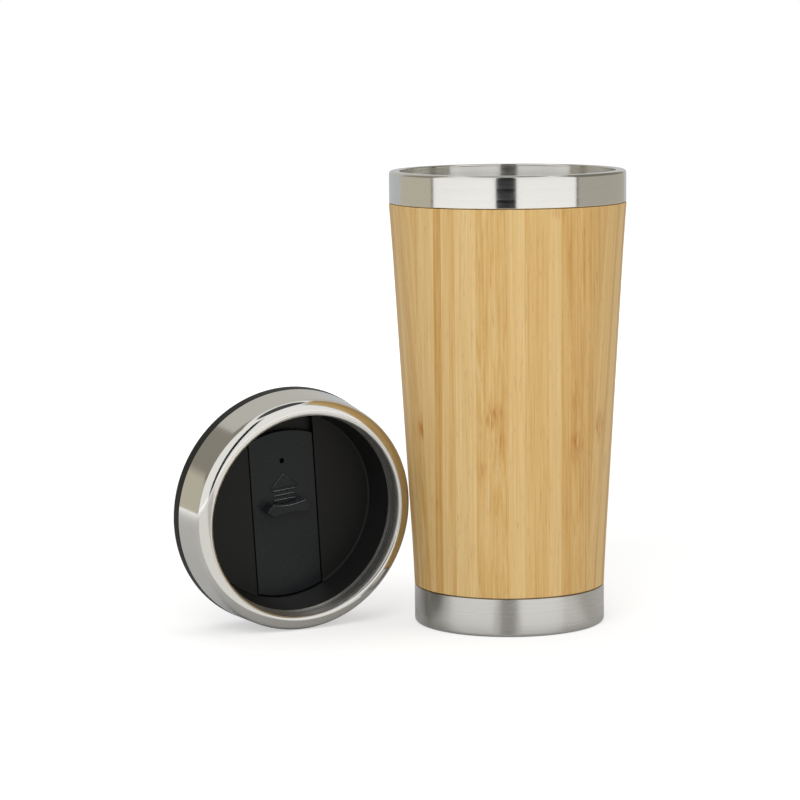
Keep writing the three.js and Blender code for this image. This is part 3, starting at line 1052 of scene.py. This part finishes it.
@dataclass
class Lid:
    """Slide lid: black flange and plug, steel cover, black recess, silicone seal and slider."""

    radius: float = 43.7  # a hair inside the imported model's facets
    taper: float = math.radians(5)
    height: float = 19.6
    flange: float = 3.8
    flange_rounds: tuple[float, float] = (0.6, 0.5)  # at its lower and its upper edge
    seam: float = 0.3
    sheet: float = 0.8
    shoulder: float = 15.5
    shoulder_pull: float = 2.2
    crest: float = 38.2
    crest_pull: float = 2.4
    lip_pull: float = 2.0
    lip_steps: int = 14
    flare: float = 36.1
    flare_level: float = 12.4
    flare_pull: float = 5.0
    flare_lean: float = 0.2
    flare_curl: float = 0.3
    curl_height: float = 0.8
    fold: float = 0.6  # the cover's inside is drawn in and rounded by this under its lip
    brush_start: int = 3  # steps of the lip's curve that stay polished
    brush_slack: float = 0.05
    recess: float = 34.2
    face: float = 0.5
    recess_round: float = 0.6
    recess_edge: float = 0.3
    insert_wall: float = 1.5
    shelf: float = 1.6
    shelf_height: float = 4.0
    channel: float = 13.1
    channel_end: float = 0.2
    channel_round: float = 0.15
    channel_floor: float = -2.0
    undercut: float = 14.1
    undercut_length: float = 57.0
    plug: float = 37.5
    plug_wall: float = 1.5
    plug_depth: float = 10.5
    plug_floor: float = 2.0
    plug_rounds: tuple[float, float] = (0.3, 0.6)  # at its inner and its outer edge
    rib_reach: float = 0.5
    rib_height: float = 1.0
    rib_round: float = 0.25
    rib_tops: tuple[float, float] = (-8.0, -3.0)
    spigot: float = 41.55
    spigot_wall: float = 2.0
    spigot_height: float = 3.0
    seal_web: float = 0.7
    seal_lip: float = 39.2
    seal_lip_round: float = 0.25
    seal_notch_round: float = 0.1
    drink: tuple[float, float] = (27.8, 33.3)
    drink_half_angle: float = math.radians(15)
    vent: float = 1.0
    vent_up: float = 16.6
    vent_steps: int = 32
    slider_half: float = 12.7
    slider_reach: float = 33.8
    slider_round: float = 0.2
    travel: float = 6.2
    tongue: tuple[float, float] = (-1.5, -0.6)
    tongue_half: float = 13.7
    tongue_length: float = 50.0
    grip_height: float = 4.5
    grip_half: float = 9.4
    grip_columns: int = 10
    grip_shoulder: int = 7
    grip_side: float = 2.5
    grip_waist: float = 1.6
    grip_up: float = -0.3
    grip_taper: tuple[float, float] = (0.975, 0.92)
    grip_round: float = 0.25
    arrow_up: float = 6.6
    arrow_length: float = 5.5
    arrow_width: float = 11.6
    arrow_round: float = 0.3
    mark_height: float = 0.4
    bar_count: int = 3
    bar_half: float = 4.3
    bar_width: float = 0.8
    bar_pitch: float = 1.75
    bar_drop: float = 0.9
    bar_round: float = 0.25
    sink: float = 0.5  # how far a joined or cutting shape goes past a face
    behind: float = 33.7
    roll: float = math.radians(5.6)

    def wall(self, level: float) -> float:
        """Radius of the tapered side wall at a level."""
        return self.radius - level * math.tan(self.taper)

    def stand(self) -> Matrix:
        """Works out where the lid stands: on its tapered wall, rolled a little, by the bamboo.

        Returns:
            The lid's place and turn, in metres.
        """
        low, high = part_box("lid_plug")
        up = self.radius * math.cos(self.taper) * MM
        place = Vector(((low.x + high.x) / 2, self.behind * MM, up))
        tipped = Matrix.Rotation(math.pi / 2 + self.taper, 4, "X")
        return Matrix.Translation(place) @ tipped @ Matrix.Rotation(self.roll, 4, "Z")

    def put_down(self, piece: Object) -> None:
        """Moves a piece from the lid's own frame to where the lid stands.

        Args:
            piece: Finished shape about the lid's axis.
        """
        take_up(piece)
        piece.matrix_world = self.stand()
        bpy.ops.object.transform_apply(location=True, rotation=True, scale=True)

    def lip_curve(self) -> list[Corner]:
        """Runs the curve from the crest of the lip down the flare inside it.

        Returns:
            Corners along the curve.
        """
        return bend(
            Corner(self.crest, self.height),
            Corner(self.crest - self.lip_pull, self.height),
            Corner(self.flare + self.flare_lean, self.flare_level + self.flare_pull),
            Corner(self.flare + self.flare_curl, self.flare_level + self.curl_height),
            self.lip_steps,
        )

    def make_cover(self) -> Object:
        """Turns the steel cover: tapered wall, rounded lip and the flare inside it.

        Returns:
            The cover.
        """
        foot = self.flange + self.seam
        turn_in = self.shoulder + self.shoulder_pull
        inside = self.height - self.sheet
        outline = [Corner(self.wall(foot), foot)]
        outline += bend(
            Corner(self.wall(self.shoulder), self.shoulder),
            Corner(self.wall(turn_in), turn_in),
            Corner(self.crest + self.crest_pull, self.height),
            Corner(self.crest, self.height),
            self.lip_steps,
        )
        outline += self.lip_curve()[1:]
        outline += [
            Corner(self.flare, self.flare_level),
            Corner(self.flare + self.sheet, self.flare_level),
            Corner(self.flare + self.flare_lean + self.sheet, self.flare_level + self.flare_pull),
            Corner(self.crest, inside, self.fold),
            Corner(self.wall(turn_in) - self.sheet - self.fold, turn_in, self.fold),
            Corner(self.wall(foot) - self.sheet, foot),
        ]
        return turn("lid_steel_cover", outline)

    def make_insert(self) -> Object:
        """Turns the black recess and cuts the slider's channel through its floor.

        Returns:
            The recess.
        """
        outer = self.recess + self.insert_wall
        shelf = self.flare + self.shelf
        top = self.flare_level - self.seam
        underside = self.channel_floor + self.seam
        outline = [
            Corner(0, underside),
            Corner(outer, underside),
            Corner(outer, self.flange + self.seam),
            Corner(shelf, top - self.shelf_height),
            Corner(shelf, top),
            Corner(self.flare, top, self.recess_edge, FEW),
            Corner(self.recess, self.face, self.recess_round),
            Corner(0, self.face),
        ]
        piece = turn("lid_recess", outline, closed=False)
        below, above = underside - self.sink, self.face + self.sink
        end = self.recess + self.channel_end
        fit(piece, strip_plate("channel", self.channel, end, 0, below, above), Fit.CUT)
        clearance = self.tongue[1] + self.seam
        undercut = box("undercut", self.undercut, self.undercut_length, 0, below, clearance)
        fit(piece, undercut, Fit.CUT)
        take_up(piece, Mode.EDIT)
        take_all()
        bpy.ops.mesh.dissolve_limited(angle_limit=FLAT)
        edge, face = self.channel * MM, self.face * MM
        pick(Element.EDGE, lambda at: abs(abs(at.x) - edge) < NEAR and abs(at.z - face) < NEAR)
        bpy.ops.mesh.bevel(offset=self.channel_round * MM, segments=2, affect="EDGES")
        return piece

    def make_plug(self) -> Object:
        """Turns the flange and plug, then opens the drink hole and the vent in its floor.

        Returns:
            The flange and plug.
        """
        bore = self.plug - self.plug_wall
        floor_foot = self.channel_floor - self.plug_floor
        rib = self.plug + self.rib_reach
        spigot_top = self.flange + self.spigot_height
        outline = [
            Corner(0, floor_foot),
            Corner(bore, floor_foot),
            Corner(bore, -self.plug_depth, self.plug_rounds[0], FEW),
            Corner(self.plug, -self.plug_depth, self.plug_rounds[1]),
        ]
        for rib_top in self.rib_tops:
            rib_foot = rib_top - self.rib_height
            outline += [
                Corner(self.plug, rib_foot),
                Corner(rib, rib_foot, self.rib_round, FEW),
                Corner(rib, rib_top, self.rib_round, FEW),
                Corner(self.plug, rib_top),
            ]
        outline += [
            Corner(self.plug, 0),
            Corner(self.radius, 0, self.flange_rounds[0]),
            Corner(self.wall(self.flange), self.flange, self.flange_rounds[1]),
            Corner(self.spigot, self.flange),
            Corner(self.spigot, spigot_top),
            Corner(self.spigot - self.spigot_wall, spigot_top),
            Corner(self.spigot - self.spigot_wall, self.flange),
            Corner(bore, self.flange),
            Corner(bore, self.channel_floor),
            Corner(0, self.channel_floor),
        ]
        piece = turn("lid_flange_plug", outline, closed=False)
        below, above = floor_foot - self.sink, self.channel_floor + self.sink
        fit(piece, self.make_drink_hole(below, above), Fit.CUT)
        fit(piece, self.make_vent(self.vent_up + self.travel, below, above), Fit.CUT)
        return piece

    def make_drink_hole(self, below: float, above: float) -> Object:
        """Turns a ring and keeps the sector of it that the drink hole takes up.

        Args:
            below: Level under the floor.
            above: Level over the floor.

        Returns:
            The shape that is cut out, in edit mode.
        """
        inner, outer = self.drink
        section = [(inner, below), (outer, below), (outer, above), (inner, above)]
        piece = turn("drink_hole", [Corner(radius, level) for radius, level in section])
        take_up(piece, Mode.EDIT)
        lean, rise = math.cos(self.drink_half_angle), math.sin(self.drink_half_angle)
        for side in (-1, 1):
            cut_away((0, 0, 0), (side * lean, rise, 0))
        return piece

    def make_vent(self, up: float, below: float, above: float) -> Object:
        """Makes the round pin that a vent is cut with, at a place along the slider's way."""
        return cylinder("vent", self.vent, below, above, up, self.vent_steps)

    def make_seal(self) -> Object:
        """Turns the silicone ring with its two soft lips.

        Returns:
            The ring.
        """
        bore = self.plug + self.seam
        web = bore + self.seal_web
        foot = self.rib_tops[0] + self.seam
        top = self.rib_tops[1] - self.rib_height - self.seam
        pitch = (top - foot) / 2
        outline = [
            Corner(bore, foot),
            Corner(web, foot),
            Corner(self.seal_lip, foot + pitch / 2, self.seal_lip_round),
            Corner(web, foot + pitch, self.seal_notch_round),
            Corner(self.seal_lip, foot + pitch + pitch / 2, self.seal_lip_round),
            Corner(web, top),
            Corner(bore, top),
        ]
        return turn("lid_seal_ring", outline)

    def raise_mark(
        self, height: float, rounding: float, taper: tuple[float, float] = (1.0, 1.0)
    ) -> None:
        """Raises the flat shape that is open for editing out of the slider's face.

        Args:
            height: How far it stands out of the face.
            rounding: Width of the rounding round its top.
            taper: Its top's sizes across and along the slider's way, over those of its foot.
        """
        bpy.ops.mesh.select_mode(type=Element.FACE.value)
        take_all()
        rise = (0, 0, (height + self.sink) * MM)
        bpy.ops.mesh.extrude_region_move(TRANSFORM_OT_translate={"value": rise})
        bpy.ops.transform.resize(value=(*taper, 1))
        round_top(self.face + height, rounding)
        face_outwards()

    def make_grip(self) -> Object:
        """Makes the thumb grip: a bar with pointed ends and a drawn-in waist.

        Returns:
            The grip in edit mode.
        """
        clear_bench()
        bpy.ops.mesh.primitive_grid_add(
            x_subdivisions=2 * self.grip_columns,
            y_subdivisions=1,
            size=2 * MM,
            location=(0, self.grip_up * MM, (self.face - self.sink) * MM),
        )
        piece = start_piece("thumb_grip")
        bpy.ops.transform.resize(value=(self.grip_half, self.grip_side, 1))
        pitch = self.grip_half / self.grip_columns
        shoulder, last = self.grip_shoulder, self.grip_columns
        for column in range(-last, last + 1):
            out = abs(column)
            swell = (self.grip_side - self.grip_waist) * (out / shoulder) ** 2
            half = self.grip_waist + swell
            if out > shoulder:
                half = self.grip_side * (last - out) / (last - shoulder)
            pick(Element.VERT, lambda at: abs(at.x - column * pitch * MM) < NEAR)
            bpy.ops.transform.resize(value=(1, half / self.grip_side, 1))
        merge_close()
        bpy.ops.mesh.select_mode(type=Element.FACE.value)
        take_all()
        bpy.ops.mesh.dissolve_faces()
        self.raise_mark(self.grip_height, self.grip_round, self.grip_taper)
        return piece

    def make_arrow(self) -> Object:
        """Makes the raised arrow head.

        Returns:
            The arrow head in edit mode.
        """
        clear_bench()
        middle = self.arrow_up + self.arrow_length / 2
        place = (0, middle * MM, (self.face - self.sink) * MM)
        bpy.ops.mesh.primitive_plane_add(size=MM, location=place)
        piece = start_piece("arrow_head")
        bpy.ops.transform.resize(value=(self.arrow_width, self.arrow_length, 1))
        pick(Element.VERT, lambda at: at.y > middle * MM)
        bpy.ops.mesh.merge(type="CENTER")
        self.raise_mark(self.mark_height, self.arrow_round)
        return piece

    def make_bars(self) -> list[Object]:
        """Makes one raised bar and copies it down the slider.

        Returns:
            The bars.
        """
        top = self.face + self.mark_height
        first = self.arrow_up - self.bar_drop
        bar = box("mark_bar", self.bar_half, self.bar_width, first, self.face - self.sink, top)
        round_top(top, self.bar_round)
        bars = [bar]
        for index in range(1, self.bar_count):
            take_up(bar)
            bpy.ops.object.duplicate(linked=False)
            copy = bpy.context.active_object
            set_mode(Mode.EDIT)
            take_all()
            bpy.ops.transform.translate(value=(0, -index * self.bar_pitch * MM, 0))
            bars.append(copy)
        return bars

    def make_slider(self) -> Object:
        """Makes the slider's plate and joins its tongues, push mark and grip to it.

        Returns:
            The slider.
        """
        foot = self.channel_floor + self.seam
        piece = strip_plate(
            "slide_gate", self.slider_half, self.slider_reach, self.travel, foot, self.face
        )
        round_top(self.face, self.slider_round)
        middle = -self.travel / 2
        tongues = box("tongues", self.tongue_half, self.tongue_length, middle, *self.tongue)
        fit(piece, tongues, Fit.JOIN)
        fit(piece, self.make_arrow(), Fit.JOIN)
        for bar in self.make_bars():
            fit(piece, bar, Fit.JOIN)
        fit(piece, self.make_grip(), Fit.JOIN)
        pin = self.make_vent(self.vent_up, foot - self.sink, self.face + self.sink)
        fit(piece, pin, Fit.CUT)
        return piece

    def brush_flare(self, cover: Object, material: Material) -> None:
        """Gives the flare inside the lip its brushed finish.

        Args:
            cover: Steel cover, where it stands.
            material: Finish of the flare.
        """
        cover.data.materials.append(material)
        own = self.stand().inverted()
        brushed = [*self.lip_curve()[self.brush_start :], Corner(self.flare, self.flare_level)]
        marks = [Vector((corner.radius, corner.level)) for corner in brushed]

        def on_flare(at: Vector) -> bool:
            """Says whether a point lies on the flare's inner face.

            Args:
                at: Point in metres.

            Returns:
                Whether it does.
            """
            spot = own @ at / MM
            place = Vector((math.hypot(spot.x, spot.y), spot.z))
            return any((place - mark).length < self.brush_slack for mark in marks)

        take_up(cover, Mode.EDIT)
        pick(Element.FACE, on_flare)
        cover.active_material_index = 1
        bpy.ops.object.material_slot_assign()
        clear_bench()

    def build(self) -> None:
        """Makes the pieces, stands them beside the tumbler and dresses them."""
        stand = self.stand()
        grounds = Grounds(tuple(stand.translation), tuple(stand.to_euler("XYZ")))
        polished = Steel(
            "polished_lid_stainless",
            roughness=0.1,
            line_roughness=0.03,
            anisotropy=0.3,
            axis=Axis.Y,
            grounds=grounds,
        )
        brushed = Steel(
            "brushed_lid_stainless",
            dark_line="#b6b4af",
            roughness=0.32,
            line_roughness=0.12,
            axis=Axis.Y,
            grounds=grounds,
        )
        black = Moulding(
            "black_polypropylene", "#131413", "#191a19", sheen_level=0.22, grounds=grounds
        ).make()
        cool = Moulding(
            "black_acetal", "#14181a", "#1b2021", roughness=0.28, sheen_level=0.23, grounds=grounds
        )
        silicone = Moulding(
            "dark_silicone", "#37383a", "#3e3f41", roughness=0.65, sheen_level=0.2, grounds=grounds
        )
        for piece, body, node, slot, material in (
            (self.make_cover(), Body.LID, "lid_cover", "lid_steel", polished.make()),
            (self.make_insert(), Body.LID, "lid_insert", "lid_plastic", black),
            (self.make_plug(), Body.LID, "lid_plug", "lid_plastic", black),
            (self.make_seal(), Body.LID, "lid_seal", "silicone", silicone.make()),
            (self.make_slider(), Body.SLIDER, "lid_slider", "slider_plastic", cool.make()),
        ):
            smooth(piece)
            self.put_down(piece)
            dress(piece, body, node, material)
            if node == "lid_cover":
                self.brush_flare(piece, brushed.make())


# Studio


@dataclass(frozen=True)
class Screen:
    """Glowing studio screen that shows only in reflections, by its angles from the camera's side;
    its glow is a painted reflection of the room's light and shade, and it is no lamp.
    """

    name: str
    start: float
    end: float
    # low and high are painted glow colours that stand in for the light and shade of the room
    low: str  # colour of its lower part
    high: str
    foot: tuple[float, float] = (0.68, 0.001)  # distance and height of its near edge, in metres
    head: tuple[float, float] = (0.68, 1.3)


@dataclass(frozen=True)
class Lamp:
    """Square lamp: its place and side in metres and its power in watts."""

    name: str
    place: Triple
    side: float
    power: float


@dataclass
class Studio:
    """Pale floor, soft lamps, reflected screens and the camera of the photograph."""

    ambient: float = 0.6
    floor_size: float = 8.0
    floor_colour: str = "#b2b2b1"
    floor_lift: tuple[float, float] = (0.53, 0.81)  # near the object and far from it
    floor_mirror: tuple[float, float] = (0.0, 0.77)  # the same in mirrors
    floor_near: tuple[float, float] = (0.25, 0.8)  # distances between near and far
    screen_change: tuple[float, float] = (0.2, 0.26)  # heights between the two colours
    screen_steps: int = 24
    camera_place: Triple = (-0.5499, -0.9602, 0.22325)
    camera_yaw: float = math.radians(27.77)
    camera_pitch: float = math.radians(7.347)
    camera_roll: float = math.radians(0.515)
    camera_near: float = 0.05
    focal_pixels: float = 3084.66
    image_pixels: float = 800.0
    sensor: float = 36.0
    lamp_aim: Triple = (-0.03, 0.0, 0.07)
    screens: tuple[Screen, ...] = (
        Screen("dark_flag", -10.7, 8.0, "#171b1f", "#171b1f"),
        Screen("left_wall", -123.0, -76.5, "#c6c1b1", "#938f85"),
        Screen("left_edge", -76.5, -74.0, "#807c70", "#807c70"),
        Screen("right_edge", 67.5, 70.0, "#6f6d66", "#6f6d66"),
        Screen("right_wall", 70.0, 151.0, "#b6b3a9", "#807e75"),
        Screen("back_wall", 151.0, 237.0, "#c2c5c8", "#c8c7c1"),
        Screen("ceiling", -180.0, 180.0, "#4c4e50", "#4c4e50", (0.001, 0.95), (0.3, 0.95)),
        Screen("left_sheet", -64.0, -12.0, "#eeeeeb", "#eeeeeb", (0.04, 0.001), (0.66, 0.001)),
        Screen("right_sheet", 9.0, 68.0, "#f7f7f4", "#f7f7f4", (0.04, 0.001), (0.66, 0.001)),
    )
    lamps: tuple[Lamp, ...] = (
        Lamp("key_softbox", (-0.9, -0.9, 1.1), 0.9, 13.1),
        Lamp("fill_softbox", (0.75, -1.0, 0.9), 0.9, 5.1),
        Lamp("top_softbox", (0.0, 0.3, 1.5), 1.2, 8.0),
    )
    glints: tuple[Lamp, ...] = (
        Lamp("left_glint", (-0.35, -1.03, 0.91), 1.0, 30.0),
        Lamp("right_glint", (0.58, -0.75, 1.0), 1.0, 58.0),
    )

    def make_camera(self) -> None:
        """Sets the camera where the photograph was taken from."""
        yaw, pitch, roll = self.camera_yaw, self.camera_pitch, self.camera_roll
        level = math.cos(pitch)
        forward = Vector((math.sin(yaw) * level, math.cos(yaw) * level, -math.sin(pitch)))
        right = Vector((math.cos(yaw), -math.sin(yaw), 0))
        down = forward.cross(right)
        across = right * math.cos(roll) + down * math.sin(roll)
        drop = down * math.cos(roll) - right * math.sin(roll)
        turned = Matrix((across, -drop, -forward)).transposed()
        clear_bench()
        bpy.ops.object.camera_add()
        camera = bpy.context.active_object
        camera.name = "camera"
        camera.matrix_world = Matrix.Translation(self.camera_place) @ turned.to_4x4()
        camera.data.sensor_width = self.sensor
        camera.data.lens = self.sensor * self.focal_pixels / self.image_pixels
        camera.data.clip_start = self.camera_near
        bpy.context.scene.camera = camera

    def seen(
        self, tree: NodeTree, straight: Node | float = 1.0, mirrored: Node | float = 1.0
    ) -> Node:
        """Adds nodes that give one value to straight views and another to mirrors.

        Args:
            tree: Node tree that gets the nodes.
            straight: Value for the camera, through glass too.
            mirrored: Value for a mirror.

        Returns:
            Node that gives the value, which is zero for light itself.
        """
        rays = add_node(tree, "LightPath").outputs
        values = {0: rays["Is Camera Ray"], 1: rays["Is Transmission Ray"]}
        direct = add_node(tree, "Math", values, operation="MAXIMUM")
        plain = add_node(tree, "Math", {0: direct, 1: straight}, operation="MULTIPLY")
        values = {0: rays["Is Glossy Ray"], 1: mirrored, 2: plain}
        return add_node(tree, "Math", values, operation="MULTIPLY_ADD")

    def make_world(self) -> None:
        """Makes a world that looks white and lights the object softly."""
        world = bpy.data.worlds.new("white_studio")
        bpy.context.scene.world = world
        world.use_nodes = True
        tree = world.node_tree
        tree.nodes.clear()
        values = {"Color": linear(WHITE), "Strength": self.ambient}
        soft = add_node(tree, "Background", values)
        white = add_node(tree, "Background", values | {"Strength": 1.0})
        shown = add_node(tree, "MixShader", {0: self.seen(tree), 1: soft, 2: white})
        add_node(tree, "OutputWorld", {"Surface": shown})

    def make_floor(self) -> None:
        """Makes the pale floor, which looks white and keeps the shadow."""
        clear_bench()
        bpy.ops.mesh.primitive_plane_add(size=self.floor_size)
        floor = bpy.context.active_object
        floor.name = "floor"
        material, tree = new_tree("pale_paper_sweep")
        spot = add_node(tree, "TexCoord").outputs["Object"]
        away = add_node(tree, "VectorMath", {0: spot}, operation="LENGTH").outputs["Value"]
        start, end = self.floor_near
        lifts = []
        for near, far in (self.floor_lift, self.floor_mirror):
            values = {"Value": away, "From Min": start, "From Max": end}
            values |= {"To Min": near, "To Max": far}
            lifts.append(add_node(tree, "MapRange", values, interpolation_type="SMOOTHSTEP"))
        lift = self.seen(tree, *lifts)
        paper = add_node(tree, "BsdfDiffuse", {"Color": linear(self.floor_colour)})
        glow = add_node(tree, "Emission", {"Color": linear(WHITE), "Strength": lift})
        sheet = add_node(tree, "AddShader", {0: paper, 1: glow})
        add_node(tree, "OutputMaterial", {"Surface": sheet})
        floor.data.materials.append(material)

    def make_screen(self, screen: Screen) -> None:
        """Bends a glowing screen round the tumbler, for mirrors only; its glow paints the room's
        reflection into the steel.

        Args:
            screen: Its name, angles and colours.
        """
        toward = math.atan2(self.camera_place[1], self.camera_place[0])
        ends = [Corner(away / MM, height / MM) for away, height in (screen.foot, screen.head)]
        piece = draw_outline(screen.name, ends, closed=False)
        set_mode(Mode.OBJECT)
        piece.rotation_euler.z = toward + math.radians(screen.start)
        bpy.ops.object.transform_apply(rotation=True)
        set_mode(Mode.EDIT)
        take_all()
        width = math.radians(screen.end - screen.start)
        bpy.ops.mesh.spin(steps=self.screen_steps, angle=width, center=(0, 0, 0), axis=(0, 0, -1))
        set_mode(Mode.OBJECT)
        # The screen glows with its painted reflection colours, lower and upper; it is no lamp and
        # lights nothing.
        material, tree = new_tree(screen.name + "_cloth")
        spot = add_node(tree, "TexCoord").outputs["Object"]
        height = add_node(tree, "SeparateXYZ", {0: spot}).outputs["Z"]
        low, high = self.screen_change
        share = add_node(tree, "MapRange", {"Value": height, "From Min": low, "From Max": high})
        values = {0: share, 6: linear(screen.low), 7: linear(screen.high)}
        painted_reflection = add_node(tree, "Mix", values, data_type="RGBA")
        glow = add_node(tree, "Emission", {"Color": painted_reflection.outputs[2]})
        add_node(tree, "OutputMaterial", {"Surface": glow})
        piece.data.materials.append(material)
        piece.visible_camera = piece.visible_diffuse = piece.visible_shadow = False
        piece.visible_transmission = piece.visible_volume_scatter = False

    def hang_lamp(self, lamp: Lamp) -> Object:
        """Hangs a square lamp and turns it to the object.

        Args:
            lamp: Its name, place, side and power.

        Returns:
            The lamp.
        """
        clear_bench()
        bpy.ops.object.light_add(type="AREA", location=lamp.place)
        hung = bpy.context.active_object
        hung.name = lamp.name
        hung.data.shape = "SQUARE"
        hung.data.size = lamp.side
        hung.data.energy = lamp.power
        aim = Vector(self.lamp_aim) - Vector(lamp.place)
        hung.rotation_euler = aim.to_track_quat("-Z", "Y").to_euler()
        return hung

    def make_lamps(self) -> None:
        """Hangs the soft lamps, which don't show in the steel."""
        for lamp in self.lamps:
            self.hang_lamp(lamp).visible_glossy = False

    def make_glints(self, piece: Object) -> None:
        """Hangs lamps that only glint on the rounded edges of one piece.

        Args:
            piece: Piece that alone gets their light.
        """
        lit = bpy.data.collections.new("glint_receivers")
        lit.objects.link(piece)
        for lamp in self.glints:
            hung = self.hang_lamp(lamp)
            hung.visible_diffuse = False
            hung.light_linking.receiver_collection = lit

    def build(self) -> None:
        """Sets up the studio."""
        bpy.context.scene.view_settings.view_transform = "Standard"
        self.make_camera()
        self.make_world()
        self.make_floor()
        for screen in self.screens:
            self.make_screen(screen)
        self.make_lamps()


def main() -> None:
    """Builds the studio, the tumbler and the lid."""
    logging.basicConfig(level=logging.INFO, format="%(name)s: %(message)s")
    studio = Studio()
    studio.build()
    Tumbler().build()
    Lid().build()
    studio.make_glints(bpy.data.objects["slide_gate"])
    clear_bench()


if __name__ == "__main__":
    main()
